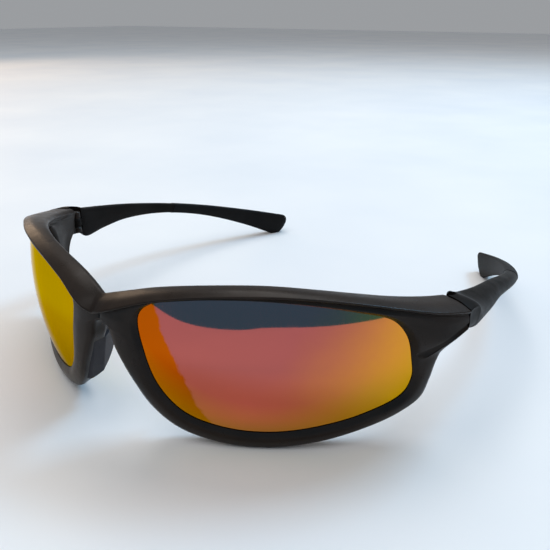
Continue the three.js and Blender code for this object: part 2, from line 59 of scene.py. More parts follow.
NUT_RADIUS, NUT_HEIGHT, NUT_SINK = 1.1, 0.9, 0.15
SOCKET_PLAY = 0.06
FAR, THROUGH = 200.0, 5.0  # how far the cutting tools reach past what they cut
SWELL, SWELL_ANGLES, SWELL_LEVELS = 2.4, (48, 66), (-3.2, 1.5)
GRIP_START, GRIP_GAP, GRIP_SWELL = 0.6, 0.0004, 0.12
TIP, TIP_LEAST = 0.97, 0.02
PAD_ROOT, PAD_LEAN, PAD_DEPTH, PAD_FLARE, PAD_PLAY = 14.0, 0.46, 1.9, 0.5, 0.12
PAD_CREASE, CREASE_LEVEL, CREASE_DROP = (6.4, 8.4), 20.2, 8.0
SHOULDER_LEVEL, SHOULDER_HALF, SHOULDER_DEPTH = 21.65, 0.2, 0.55
SHAPE_FROM, SHAPE_TO = 0.08, 0.34
SEAM_FROM, SEAM_TO, SEAM_FIRST, SEAM_LAST = 0.03, 0.2, -1.0, 7.6
MM_PER_DEGREE = math.radians(1) * RIM_FRONT

OPENING = [
    (8.2, 5.6), (11, 8.1), (19, 9.8), (28, 10.3), (37, 9.6), (46, 7.8), (53, 5.4), (56, 1.9),
    (57.4, -3), (58, -7), (56.6, -10.4), (50, -13.2), (42, -15.2), (32, -16.6), (23, -16),
    (15.6, -13.4), (11.2, -8.2), (9, -1.4),
]
LOWER_EDGE = [
    (71, 2.4), (67.5, 1.3), (64.6, -1.1), (62.9, -4.3), (62.1, -8), (61, -12), (57, -14.7),
    (49, -17.4), (39, -19.8), (29, -20.75), (20, -19.7), (13.4, -17.3), (9, -13.2), (6.2, -8.4),
    (4, -4.2), (2.7, -1.4), (2.1, 0.8), (1.3, 2.3), (0, 2.8),
]
RIDGE = [
    (0, 4.9, 74.4), (2, 5.6, 74.9), (4, 6.3, 74.6), (10, 8.4, 73.1), (18, 10.1, 72.4),
    (26, 10.9, 72.4), (33, 11.05, 72.7), (40, 10.5, 72.9), (47, 9.4, 73.5), (54, 7.8, 74.2),
    (60, 6.3, 75), (65.5, 5.2, 75.1), (71, 4.2, 74.6),
]
BROW_REAR = [
    (0, 7.8, 69.9), (4.5, 9, 68.2), (10, 10.4, 67.3), (18, 11.7, 67.1), (27, 12.4, 67.2),
    (33, 12.3, 67.1), (40, 11.5, 66.8), (47, 10.3, 66.5), (54, 8.9, 66.5), (62, 7.4, 66.5),
    (71, 5.9, 66.5),
]
# How many degrees below the ridge its undercut meets the rim's face, by angle.
UNDERCUT = [(0, 0.5), (6, 0.35), (11, 0.2), (19, 0.16), (28, 0.25), (37, 0.45), (46, 0.5), (71, 0.5)]
GROOVE_LINE = [
    (57.6, -2.1, 0.2), (58.1, -2, 0.8), (59.4, -1.7, 0.9), (61, -1, 0.85), (62.4, -0.1, 0.75),
    (63.9, 0.9, 0.65), (65.6, 1.8, 0.55), (69.5, 3, 0.45),
]
GROOVE_FLOOR, GROOVE_SLANT, GROOVE_CLEAR, GROOVE_SHALLOW = 0.75, 0.45, 0.2, 0.1
GROOVE_FLOOR_SHARES = (0.2, 0.5)
GROOVE_RADII = [0.05, 0.05, 0.4, 0.4, 0.05, 0.05]
TEMPLE_TOP = [
    (61.5, 47, 32.7), (61.4, 51, 31.7), (63.2, 62, 29.7), (64, 76, 27), (64, 95, 22.5),
    (59.2, 114, 17.7), (51.4, 133, 12.2), (41.1, 150, 6.9),
]
TEMPLE_BOTTOM = [
    (61.2, 47, 22.3), (61.2, 51, 21.6), (63, 62, 22), (64, 74, 22), (64, 93, 19.2),
    (60, 111, 14.5), (53, 129.5, 6.9), (44.7, 146, -1.9),
]
TEMPLE_THICKNESS = [8.5, 8.3, 5.9, 4.4, 3.9, 3.9, 3.9, 3.9]
HINGE_SECTION = [
    (0, 0.1), (0, 0.3), (0, 0.5), (0, 0.7), (0, 0.93), (0.06, 1), (0.45, 0.99), (0.86, 0.93),
    (0.97, 0.86), (1, 0.78), (0.98, 0.64), (0.94, 0.48), (0.86, 0.34), (0.6, 0.2), (0.3, 0.09),
    (0.06, 0),
]
TEMPLE_SECTION = [
    (0, 0.1), (-0.04, 0.3), (-0.06, 0.5), (-0.04, 0.7), (0, 0.9), (0.12, 0.98), (0.4, 0.97),
    (0.67, 0.89), (0.87, 0.74), (0.98, 0.57), (1, 0.42), (0.93, 0.27), (0.77, 0.13),
    (0.53, 0.04), (0.28, 0), (0.08, 0.02),
]
SEAM_SECTION = [
    (66.2, 25), (66.2, 26.6), (66.2, 28.4), (66.2, 30.2), (66.2, 32.2), (66.7, 32.67),
    (71.3, 32.6), (73.5, 32), (74.67, 31.62), (74.5, 31.25), (74.45, 30), (74.5, 27.9),
    (74.1, 26.8), (72.8, 26), (69.5, 25.3), (66.8, 24.6),
]
PAD_SECTIONS = [
    (25, 2.6, 9), (24, 2.2, 11.6), (21.8, 2, 13), (21.5, 2, 13.2), (17.8, 2.8, 14.2),
    (15.2, 3.3, 14.6), (12.8, 3.8, 14.5), (10.6, 4.3, 13.4), (9, 4.7, 10.8), (8.2, 5.1, 8),
]


# ---- curves and surfaces ----
def smoothstep(x, low, high):
    t = np.clip((np.asarray(x, float) - low) / (high - low), 0, 1)
    return t * t * (3 - 2 * t)


def lerp(a, b, t):
    return a + (b - a) * t


def on_wrap(a, b, r):
    """The point at angle a from the nose, elevation b and distance r from the wrap's centre."""
    a, b, r = np.broadcast_arrays(np.radians(a), np.radians(b), np.asarray(r, float))
    level = r * np.cos(b)
    offset = np.stack([level * np.sin(a), -level * np.cos(a), r * np.sin(b)], -1)
    return offset + WRAP_CENTRE - np.array([0, ORIGIN_Y, 0])


def catmull(points, t, closed=False):
    """The centripetal Catmull-Rom curve through the points, at each t from 0 to 1."""
    p = np.asarray(points, float)
    spans = len(p) if closed else len(p) - 1
    place = np.asarray(t, float) * spans
    i = np.minimum(np.floor(place).astype(int), spans - 1)
    w = (place - i)[:, None]
    if closed:
        q = [p[(i + k) % len(p)] for k in (-1, 0, 1, 2)]
    else:
        ends = np.vstack([2 * p[0] - p[1], p, 2 * p[-1] - p[-2]])
        q = [ends[i + k] for k in (0, 1, 2, 3)]
    d = [np.sqrt(np.linalg.norm(q[k + 1] - q[k], axis=1))[:, None] + 1e-9 for k in range(3)]
    m1 = (q[1] - q[0]) / d[0] - (q[2] - q[0]) / (d[0] + d[1]) + (q[2] - q[1]) / d[1]
    m2 = (q[2] - q[1]) / d[1] - (q[3] - q[1]) / (d[1] + d[2]) + (q[3] - q[2]) / d[2]
    m1, m2 = m1 * d[1], m2 * d[1]
    c2 = 3 * (q[2] - q[1]) - 2 * m1 - m2
    c3 = 2 * (q[1] - q[2]) + m1 + m2
    return q[1] + m1 * w + c2 * w**2 + c3 * w**3


def at_angle(points, a):
    """The other coordinates of a curve that runs along a, at each given a."""
    line = catmull(points, np.linspace(0, 1, 1500))
    return [np.interp(a, line[:, 0], line[:, k]) for k in range(1, line.shape[1])]


def resample(points, steps, last=False):
    """Points at even distances along a polyline."""
    points = np.asarray(points, float)
    along = np.concatenate([[0], np.cumsum(np.linalg.norm(np.diff(points, axis=0), axis=1))])
    wanted = np.linspace(0, along[-1], steps + 1)
    found = np.stack([np.interp(wanted, along, points[:, k]) for k in range(points.shape[1])], 1)
    return found if last else found[:-1]


def walk(points, start, stop, steps, closed=False):
    """Points along a curve from one stop to the next, the last one left out."""
    line = catmull(points, np.linspace(0, 1, 3000, endpoint=not closed), closed)
    nearest = [int(np.argmin(np.linalg.norm(line - np.array(s, float), axis=1))) for s in (start, stop)]
    if closed and nearest[1] < nearest[0]:
        line, nearest[1] = np.vstack([line, line]), nearest[1] + len(line)
    return resample(line[nearest[0] : nearest[1] + 1], steps)


def mesh_object(name, vertices, faces):
    """A mesh object from millimetre points, with its faces turned outwards."""
    mesh = bpy.data.meshes.new(name)
    mesh.from_pydata((np.asarray(vertices) * MM).tolist(), [], faces)
    obj = bpy.data.objects.new(name, mesh)
    bpy.context.scene.collection.objects.link(obj)
    tidy(obj, 1e-6)
    return obj


def tidy(obj, distance):
    """Merges points that coincide, removes faces of no size and turns the rest outwards."""
    made = bmesh.new()
    made.from_mesh(obj.data)
    bmesh.ops.remove_doubles(made, verts=made.verts, dist=distance)
    bmesh.ops.dissolve_degenerate(made, edges=made.edges, dist=distance)
    bmesh.ops.recalc_face_normals(made, faces=made.faces)
    made.to_mesh(obj.data)
    made.free()


def grid_faces(rows, across, closed):
    """Quads through rows of points: each row is a closed ring, and the rows may close too."""
    faces = []
    for i in range(rows if closed else rows - 1):
        j = (i + 1) % rows
        for k in range(across):
            side = (k + 1) % across
            faces.append((i * across + k, i * across + side, j * across + side, j * across + k))
    return faces


def skin(name, rings, closed=False):
    """A closed surface through rings of points, capped at both ends unless it closes on itself."""
    rings = np.asarray(rings)
    rows, across = rings.shape[:2]
    points = list(rings.reshape(-1, 3))
    faces = grid_faces(rows, across, closed)
    if not closed:
        for base in (0, (rows - 1) * across):
            hub = len(points)
            points.append(np.mean(points[base : base + across], axis=0))
            faces += [(hub, base + k, base + (k + 1) % across) for k in range(across)]
    return mesh_object(name, points, faces)


def rounded(section, radii, samples=4):
    """A closed section with its corners rounded: the section is (rows, corners, 3), the radii mm."""
    before = np.roll(section, 1, axis=1) - section
    after = np.roll(section, -1, axis=1) - section
    reach = []
    for arm in (before, after):
        length = np.linalg.norm(arm, axis=2, keepdims=True) + 1e-9
        reach.append(section + arm / length * np.minimum(radii[..., None], 0.45 * length))
    points = []
    for t in np.linspace(0, 1, samples):
        points.append(reach[0] * (1 - t) ** 2 + section * 2 * t * (1 - t) + reach[1] * t * t)
    return np.stack(points, 2).reshape(len(section), -1, 3)


# ---- booleans ----
def remove(obj):
    bpy.data.meshes.remove(obj.data)


def boolean(obj, tool, operation):
    change = obj.modifiers.new("change", "BOOLEAN")
    change.operation, change.object, change.solver = operation, tool, "EXACT"
    bpy.context.view_layer.objects.active = obj
    bpy.ops.object.modifier_apply(modifier=change.name)
    remove(tool)
    return obj


def cut(obj, *tools):
    for tool in tools:
        boolean(obj, tool, "DIFFERENCE")
    return obj


def join(obj, *tools):
    for tool in tools:
        boolean(obj, tool, "UNION")
    return obj


def box(low, high):
    low, high = np.array(low, float), np.array(high, float)
    corners = [[(low, high)[(i >> k) & 1][k] for k in range(3)] for i in range(8)]
    faces = [(0, 1, 3, 2), (4, 6, 7, 5), (0, 4, 5, 1), (2, 3, 7, 6), (0, 2, 6, 4), (1, 5, 7, 3)]
    return mesh_object("tool", corners, faces)


def bar(radius, low, high, chamfer=0.0, sides=64):
    """A round bar standing on the hinge's axis, with chamfered ends."""
    turn = np.linspace(0, 2 * np.pi, sides, endpoint=False)
    levels = [(low, radius), (high, radius)]
    if chamfer:
        levels = [(low, radius - chamfer), (low + chamfer, radius)]
        levels += [(high - chamfer, radius), (high, radius - chamfer)]
    rings = []
    for z, r in levels:
        x, y = HINGE_X + r * np.cos(turn), HINGE_Y - ORIGIN_Y + r * np.sin(turn)
        rings.append(np.stack([x, y, np.full(sides, z)], 1))
    return skin("tool", rings)


def through(radius):
    """A bar that reaches past the lugs at both ends."""
    return bar(radius, LUG_BOTTOM - THROUGH, LUG_TOP + THROUGH)


def seam_block(near, far):
    """A block between two distances from the seam's plane, negative in front of it."""
    block = box((near, -FAR, -FAR), (far, FAR, FAR))
    place = Matrix.Translation((0, (WRAP_CENTRE[1] - ORIGIN_Y) * MM, WRAP_CENTRE[2] * MM))
    block.data.transform(place @ Matrix.Rotation(math.radians(SEAM_ANGLE), 4, "Z"))
    return block


# ---- front ----
STEPS = {"top": 76, "seam": 10, "corner": 34, "under": 130, "bridge": 8}
STOPS = [(8.2, 5.6), (54.6, 4.2), (56.6, 0.6), (57.3, -9.2), (8.6, 1.5)]
OUTLINE_CORNER = (62.1, -8)
BRIDGE_LOW = 3.7  # the middle's flat pairs start above the rounded edge of the arch
END_INNER, END_FROM, END_TO, END_DROP = 61.0, 59.0, 67.0, 1.0
BROW_EDGE, BROW_LIFT, BROW_CROWN, BROW_SUMMIT, BROW_ROUNDING = 0.15, 0.35, 0.6, 0.45, 0.8
BROW_HEEL = (0.9, 0.7)
ARC_SHARE = 0.293  # how far the middle of a quarter circle lies from its corner, in radii
FACE_SHARES, BACK_SHARES = (0.35, 0.55, 0.78), (0.72, 0.42)
NARROW_SHARE, CROWN_WIDTH = 0.3, 4.0
REAR_LIP, REAR_STEP, REAR_PLAY = 0.2, 0.6, 0.1
START_RADII = [0.1, 0.5, 3, 3, 1.5]
BROW_RADII = [0.25, 0.12, 0.3, 3, 0.6, 0.4, 0.8]
EDGE_RADII = [0.4, 0.4, 0.4, 1, 0.4, 0.4, 0.4]
FINISH_RADII = [1.5, 3, 0.6, 0.25, 0.05, 0.05, 0.05, 0.02]


def swell(a, b):
    """How far the end piece's face stands out from the rim's."""
    return SWELL * smoothstep(a, *SWELL_ANGLES) * smoothstep(b, *SWELL_LEVELS)


def back_face(a):
    """The rear face's distance from the wrap's centre, less towards the seam."""
    inner = END_INNER / math.sin(math.radians(SEAM_ANGLE))
    return lerp(RIM_BACK, inner, smoothstep(a, END_FROM, END_TO))


def normals_of(loop):
    """Unit normals of a closed (a, b) loop, to the left of its direction."""
    along = np.roll(loop, -1, axis=0) - np.roll(loop, 1, axis=0)
    normal = np.stack([-along[:, 1], along[:, 0]], 1)
    return normal / (np.linalg.norm(normal, axis=1, keepdims=True) + 1e-9)


def loops():
    """The lens opening and the outline as matching loops of (a, b)."""
    opening = []
    for i, steps in enumerate(STEPS.values()):
        opening.append(walk(OPENING, STOPS[i], STOPS[(i + 1) % len(STOPS)], steps, True))
    ridge = catmull(RIDGE, np.linspace(0, 1, 1500))[:, :2]
    drop = np.interp(ridge[:, 0], *zip(*UNDERCUT))
    top = ridge - np.stack([0 * drop, drop], 1)
    seam = np.array([top[-1], LOWER_EDGE[0]])
    bridge = np.array([(0, BRIDGE_LOW), top[0]])
    outer = [
        resample(top, STEPS["top"]),
        resample(seam, STEPS["seam"]),
        walk(LOWER_EDGE, LOWER_EDGE[0], OUTLINE_CORNER, STEPS["corner"]),
        walk(LOWER_EDGE, OUTLINE_CORNER, LOWER_EDGE[-1], STEPS["under"]),
        np.array([LOWER_EDGE[-1]]),
        resample(bridge, STEPS["bridge"] - 1),
    ]
    return np.vstack(opening), np.vstack(outer)


def brow_end(a):
    """The outer end of sections through the brow: under its ridge, over the top, down the rear."""
    ridge, front = at_angle(RIDGE, a)
    rear, back = at_angle(BROW_REAR, a)
    drop = np.interp(a, *zip(*UNDERCUT))
    return [
        on_wrap(a, ridge - drop, RIM_FRONT + swell(a, ridge)),
        on_wrap(a, ridge - BROW_EDGE, front - BROW_EDGE),
        on_wrap(a, ridge + BROW_EDGE, front),
        on_wrap(a, lerp(ridge, rear, 0.5) + BROW_LIFT, lerp(front, back, BROW_SUMMIT) + BROW_CROWN),
        on_wrap(a, rear, back + BROW_ROUNDING),
        on_wrap(a, rear - BROW_EDGE, back),
        on_wrap(a, rear - BROW_HEEL[0], back - BROW_HEEL[1]),
    ]


def rounded_end(outline, inward):
    """The outer end of sections through the lower rim, rounded from the front face to the rear."""
    a, b = outline.T
    front, back = RIM_FRONT + swell(a, b), back_face(a)
    drop = END_DROP * smoothstep(a, END_FROM, END_TO)

    def place(mm, r, share=0.0):
        moved = outline + inward * mm / MM_PER_DEGREE
        return on_wrap(moved[:, 0], moved[:, 1] - drop * share, r)

    near = EDGE * ARC_SHARE
    return [
        place(EDGE, front), place(near, front - near), place(0, front - EDGE),
        place(0, lerp(front, back, 0.5), 0.4), place(0, back + EDGE, 0.8),
        place(near, back + near, 1), place(EDGE, back, 1),
    ]


def flat_end(outline):
    """The outer end of sections at the middle and the seam, straight from front to rear."""
    a, b = outline.T
    front = RIM_FRONT + swell(a, b)
    return [on_wrap(a, b, lerp(front, back_face(a), i / 6)) for i in range(7)]


def ring_sections():
    """Sections round the left lens opening, as (section, corner, xyz), and each corner's radius."""
    opening, outline = loops()
    outward = normals_of(opening)
    inward = -normals_of(outline)
    seam_start, seam_end = STEPS["top"], STEPS["top"] + STEPS["seam"]
    last_under = sum(STEPS.values()) - STEPS["bridge"]
    inward[seam_end] = inward[seam_end + 1]
    inward[last_under] = (0, 1)
    width = MM_PER_DEGREE * np.min(np.linalg.norm(opening[:, None] - outline[None], axis=2), axis=1)
    narrow = NARROW_SHARE * width
    crowned = RIM_CROWN * np.clip(width, 0, CROWN_WIDTH) / CROWN_WIDTH

    def place(mm, r):
        moved = opening + outward * np.reshape(mm / MM_PER_DEGREE, (-1, 1))
        return on_wrap(moved[:, 0], moved[:, 1], r)

    def between(share):
        return lerp(opening, outline, share)

    def face(share):
        a, b = between(share).T
        return on_wrap(a, b, RIM_FRONT + swell(a, b) + crowned * 4 * share * (1 - share))

    def back(share):
        a, b = between(share).T
        return on_wrap(a, b, back_face(a))

    groove_back = LENS_FACE - LENS_THICKNESS - GROOVE_PLAY
    index = np.arange(len(opening))[:, None]
    is_brow = index <= seam_start
    is_flat = (index < seam_end) | (index > last_under)
    kinds = zip(brow_end(outline[:, 0]), flat_end(outline), rounded_end(outline, inward))
    ends = [np.where(is_brow, brow, np.where(is_flat, flat, edge)) for brow, flat, edge in kinds]
    rows = [
        place(0, LENS_FACE + LIP), place(np.minimum(BEVEL, narrow), RIM_FRONT + swell(*opening.T)),
        *[face(share) for share in FACE_SHARES], *ends, *[back(share) for share in BACK_SHARES],
        place(np.minimum(EDGE, narrow), RIM_BACK - REAR_LIP),
        place(REAR_PLAY, groove_back - REAR_STEP),
        place(REAR_PLAY, groove_back), place(GROOVE_DEPTH, groove_back),
        place(GROOVE_DEPTH, LENS_FACE + GROOVE_PLAY), place(0, LENS_FACE + GROOVE_PLAY),
    ]
    brow_radii = [START_RADII + BROW_RADII + FINISH_RADII]
    edge_radii = [START_RADII + EDGE_RADII + FINISH_RADII]
    return np.stack(rows, 1), np.where(is_brow, brow_radii, edge_radii).astype(float)


def front_half():
    """The left half of the front, open where it meets the middle."""
    section, radii = ring_sections()
    rings = rounded(section, radii)
    rows, across = rings.shape[:2]
    points = rings.reshape(-1, 3)
    on_middle = np.abs(points[:, 0]) < 1e-6
    faces = [f for f in grid_faces(rows, across, True) if not all(on_middle[list(f)])]
    return points, faces


def front_shell():
    """Both halves of the front in one closed mesh."""
    points, faces = front_half()
    mirrored = points * np.array([-1, 1, 1])
    count = len(points)
    both = faces + [tuple(count + k for k in reversed(f)) for f in faces]
    return mesh_object("front_frame_shell", np.vstack([points, mirrored]), both)


def styling_groove():
    """The tool that cuts the groove in the left end piece's face."""
    a, b, half = catmull(GROOVE_LINE, np.linspace(0, 1, 40)).T
    lean = half * GROOVE_SLANT
    high, low = (a - lean, b + half), (a + lean, b - half)
    deep = GROOVE_FLOOR * np.minimum(1, half + GROOVE_SHALLOW)
    floor = RIM_FRONT + swell(a, b) + GROOVE_CLEAR - deep
    top_face, low_face = (RIM_FRONT + swell(*p) + GROOVE_CLEAR for p in (high, low))
    mixed = [tuple(lerp(high[k], low[k], s) for k in (0, 1)) for s in GROOVE_FLOOR_SHARES]
    section = np.stack([
        on_wrap(*high, top_face + 1), on_wrap(*high, top_face),
        on_wrap(*mixed[0], floor), on_wrap(*mixed[1], floor),
        on_wrap(*low, low_face), on_wrap(*low, low_face + 1),
    ], 1)
    return skin("tool", rounded(section, np.tile(GROOVE_RADII, (len(a), 1))))


def lug(low, high, web):
    """A round lug on the hinge's axis, with a web of a given reach and width behind it."""
    reach, width = web
    near, far = sorted((HINGE_Y - ORIGIN_Y, HINGE_Y - ORIGIN_Y + reach))
    block = box((HINGE_X - INSET, near, low), (HINGE_X + width, far, high))
    return join(bar(LUG, low, high, LUG_CHAMFER), block)


def mirrored(obj):
    """A copy of an object on the other side of the middle."""
    copy = obj.copy()
    copy.data = obj.data.copy()
    copy.data.transform(Matrix.Scale(-1, 4, (1, 0, 0)))
    copy.data.flip_normals()
    bpy.context.scene.collection.objects.link(copy)
    return copy


def both_sides(make):
    """What a function makes for the left side, and its mirror image."""
    left = make()
    return [left, mirrored(left)]


HEAD_LEVEL = LUG_TOP - HEAD_HEIGHT - HEAD_SINK
NUT_LEVEL = LUG_BOTTOM + NUT_SINK


def make_front():
    """The front: its shell, cut at the seams, with lugs and with sockets for pads and screws."""
    front = front_shell()
    tools = [
        lambda: seam_block(-SEAM_GAP / 2, FAR),
        styling_groove,
        lambda: through(WELL),
        lambda: nose_pad(PAD_PLAY),
    ]
    for tool in tools:
        cut(front, *both_sides(tool))
    for low, high in ((LUG_BOTTOM, LUG_LOW), (LUG_HIGH, LUG_TOP)):
        join(front, *both_sides(lambda: lug(low, high, FRONT_WEB)))
    sockets = [
        (BORE, LUG_BOTTOM - THROUGH, LUG_TOP + THROUGH),
        (HEAD_RADIUS + HEAD_PLAY, HEAD_LEVEL - SOCKET_PLAY, LUG_TOP + THROUGH),
        (NUT_RADIUS + SOCKET_PLAY, LUG_BOTTOM - THROUGH, NUT_LEVEL + NUT_HEIGHT + SOCKET_PLAY),
    ]
    for socket in sockets:
        cut(front, *both_sides(lambda: bar(*socket)))
    front.name = "front_frame_visual"
    return front


# ---- nose pads, lenses, temples ----
def pad_rows(grow):
    """Sections of the nose pad by height, as (row, corner, xyz)."""
    rows = catmull(PAD_SECTIONS, np.linspace(0, 1, 82))
    z, front, rear = rows.T
    shoulder = smoothstep(z, SHOULDER_LEVEL - SHOULDER_HALF, SHOULDER_LEVEL + SHOULDER_HALF)
    x = PAD_ROOT - PAD_LEAN * z + SHOULDER_DEPTH * shoulder
    crease = lerp(*PAD_CREASE, (CREASE_LEVEL - z) / CREASE_DROP)
    bend = np.minimum(crease, rear - 0.6)
    out = (rear - bend) * PAD_FLARE
    lift = np.zeros(len(z))
    lift[0], lift[-1] = grow, -grow

    def point(dx, y):
        return np.stack([x + dx, y - ORIGIN_Y + 0 * x, z + lift], 1)

    section = [
        point(0.4 - grow, front - grow), point(-grow, front + 0.5), point(-grow, bend),
        point(out - grow, rear - 0.25), point(out + 0.45, rear + grow),
        point(out + 0.95 + grow, rear - 0.35), point(PAD_DEPTH + grow, bend - 0.4),
        point(PAD_DEPTH + grow, front + 0.4), point(PAD_DEPTH - 0.4 + grow, front - grow),
    ]
    radii = np.tile([0.3, 0.4, 0.35, 0.3, 0.3, 0.3, 1, 0.3, 0.3], (len(z), 1))
    return rounded(np.stack(section, 1), radii, 5)


def nose_pad(grow=0.0):
    """The left nose pad, or a larger copy of it that cuts its socket."""
    return skin("nose_pad_visual", pad_rows(grow))


def make_lens():
    """The left lens: a curved shell whose edge runs into the groove."""
    opening, outline = loops()
    edge = opening + normals_of(opening) * LENS_BITE / MM_PER_DEGREE
    shares = np.concatenate([[0.02], np.linspace(0.05, 0.96, 26), [0.99, 1]])
    rings = []
    for depths, order in ((0.0, shares), (LENS_THICKNESS, shares[::-1])):
        for share in order:
            a, b = lerp(LENS_MIDDLE, edge, share).T
            rings.append(on_wrap(a, b, LENS_FACE - depths))
    return skin("lens_visual", rings)


def arm_sections(t, fine):
    """Sections of the temple's arm: nearly square at the hinge, oval further back."""
    top, bottom = catmull(TEMPLE_TOP, t), catmull(TEMPLE_BOTTOM, t)
    ahead = np.minimum(t + 1e-4, 1)
    along = catmull(TEMPLE_TOP, ahead) - catmull(TEMPLE_TOP, ahead - 2e-4)
    outwards = np.stack([along[:, 1], -along[:, 0], 0 * t], 1)
    outwards /= np.linalg.norm(outwards, axis=1, keepdims=True)
    steps = np.linspace(0, 1, len(TEMPLE_THICKNESS))
    thickness = catmull(np.stack([steps, TEMPLE_THICKNESS], 1), t)[:, 1]
    blend = smoothstep(t, SHAPE_FROM, SHAPE_TO)[:, None, None]
    hinge, arm = catmull(HINGE_SECTION, fine, True), catmull(TEMPLE_SECTION, fine, True)
    shape = lerp(hinge[None], arm[None], blend)
    depth = shape[..., 0:1] * thickness[:, None, None]
    points = lerp(bottom[:, None], top[:, None], shape[..., 1:2]) + outwards[:, None] * depth
    return points - np.array([0, ORIGIN_Y, 0])


def seam_sections(t, fine):
    """The end piece's own section at the seam, repeated straight back."""
    end = catmull(SEAM_SECTION, fine, True)
    turn = math.radians(SEAM_ANGLE)
    back = lerp(SEAM_FIRST, SEAM_LAST, t / SEAM_TO)[:, None]
    x, y = end[:, 0] * math.sin(turn), back - end[:, 0] * math.cos(turn)
    level = np.stack(np.broadcast_arrays(x, y, end[:, 1]), 2)
    return level + np.array([WRAP_CENTRE[0], WRAP_CENTRE[1] - ORIGIN_Y, 0])


def temple_sections(stations, grow=0.0):
    """Sections of the temple and the ear grip, at shares of their length."""
    t = np.asarray(stations, float)
    fine = np.linspace(0, 1, 72, endpoint=False)
    blend = smoothstep(t, SEAM_FROM, SEAM_TO)[:, None, None]
    points = lerp(seam_sections(t, fine), arm_sections(t, fine), blend)
    middle = points.mean(axis=1, keepdims=True)
    tip = np.clip((t - TIP) / (1 - TIP), 0, 1)
    scale = np.sqrt(np.maximum(TIP_LEAST, 1 - tip**2))[:, None, None]
    arms = points - middle
    length = np.linalg.norm(arms, axis=2, keepdims=True)
    return middle + arms * (scale + grow / length)


def make_temple():
    """The left temple up to its grip, hollowed round the hinge, with its lug between the front's."""
    blade = skin("temple_visual", temple_sections(np.linspace(0, GRIP_START, 110)))
    well = bar(WELL, LUG_BOTTOM - 2 * THROUGH, LUG_TOP + 2 * THROUGH)
    cut(blade, seam_block(-FAR, SEAM_GAP / 2), well)
    space = WASHER + 2 * WASHER_PLAY
    join(blade, lug(LUG_LOW + space, LUG_HIGH - space, TEMPLE_WEB))
    return cut(blade, through(BORE))


def make_grip():
    """The left ear grip, with a round tip that rests flat on the floor."""
    turn = np.linspace(0, np.pi / 2, 16)
    along = np.linspace(GRIP_START + GRIP_GAP, TIP, 70)
    stations = np.concatenate([along[:-1], TIP + (1 - TIP) * np.sin(turn)])
    grip = skin("ear_grip_visual", temple_sections(stations, GRIP_SWELL))
    return cut(grip, box((-FAR, -FAR, -FAR), (FAR, FAR, 0)))


def smooth(obj, angle=38):
    """Smooth shading, with edges sharper than the angle kept sharp."""
    obj.data.polygons.foreach_set("use_smooth", [True] * len(obj.data.polygons))
    obj.data.set_sharp_from_angle(angle=math.radians(angle))
    weigh = obj.modifiers.new("weighted normals", "WEIGHTED_NORMAL")
    weigh.keep_sharp = True
    return obj


# ---- materials ----
def colour(*srgb):
    """An sRGB colour in 0 to 255 as linear values with alpha."""
    shares = [v / 255 for v in srgb]
    return tuple(s / 12.92 if s <= 0.04045 else ((s + 0.055) / 1.055) ** 2.4 for s in shares) + (1,)


NOISE_RANGE, WIDE_NOISE_RANGE = (0.3, 0.7), (0.25, 0.75)


class Finish:
    """A material under construction: a Principled shader and helpers for its texture nodes."""

    def __init__(self, name, **values):
        self.material = bpy.data.materials.new(name)
        self.material.use_nodes = True
        self.nodes = self.material.node_tree.nodes
        self.links = self.material.node_tree.links
        self.shader = self.nodes["Principled BSDF"]
        for socket, value in values.items():
            self.shader.inputs[socket.replace("_", " ")].default_value = value
        self.place = self.nodes.new("ShaderNodeTexCoord").outputs["Object"]

    def node(self, kind, inputs=None, **settings):
        made = self.nodes.new(kind)
        for key, value in settings.items():
            setattr(made, key, value)
        for key, value in (inputs or {}).items():
            if isinstance(value, bpy.types.NodeSocket):
                self.links.new(value, made.inputs[key])
            else:
                made.inputs[key].default_value = value
        return made

    def noise(self, scale, detail=2.0, rough=0.5):
        inputs = {"Vector": self.place, "Scale": scale, "Detail": detail, "Roughness": rough}
        return self.node("ShaderNodeTexNoise", inputs).outputs["Fac"]

    def spread(self, value, low, high, start=0.0, end=1.0):
        """A value moved from one range to another, with no steps."""
        inputs = {"Value": value, "From Min": start, "From Max": end, "To Min": low, "To Max": high}
        return self.node("ShaderNodeMapRange", inputs).outputs["Result"]

    def ramp(self, value, stops):
        """A colour ramp, with its stops as (position, colour)."""
        made = self.node("ShaderNodeValToRGB", {"Fac": value})
        elements = made.color_ramp.elements
        while len(elements) < len(stops):
            elements.new(0.5)
        for element, (position, tint) in zip(elements, stops):
            element.position, element.color = position, tint
        return made.outputs["Color"]

    def mix(self, share, first, second):
        made = self.node("ShaderNodeMix", {"Factor": share}, data_type="RGBA")
        for socket, value in ((made.inputs[6], first), (made.inputs[7], second)):
            if isinstance(value, bpy.types.NodeSocket):
                self.links.new(value, socket)
            else:
                socket.default_value = value
        return made.outputs[2]

    def clouded(self, value, first, second):
        """From one colour to another by a noise, over the range that it mostly keeps to."""
        return self.ramp(self.spread(value, 0, 1, *NOISE_RANGE), [(0, first), (1, second)])

    def maths(self, operation, first, second=0.0):
        made = self.node("ShaderNodeMath", {0: first, 1: second}, operation=operation)
        return made.outputs[0]

    def bump(self, layers):
        """Bumps laid on one another, as (height, strength, distance in metres)."""
        normal = None
        for height, strength, distance in layers:
            inputs = {"Height": height, "Strength": strength, "Distance": distance}
            if normal:
                inputs["Normal"] = normal
            normal = self.node("ShaderNodeBump", inputs).outputs["Normal"]
        self.feed("Normal", normal)

    def feed(self, socket, value):
        self.links.new(value, self.shader.inputs[socket])


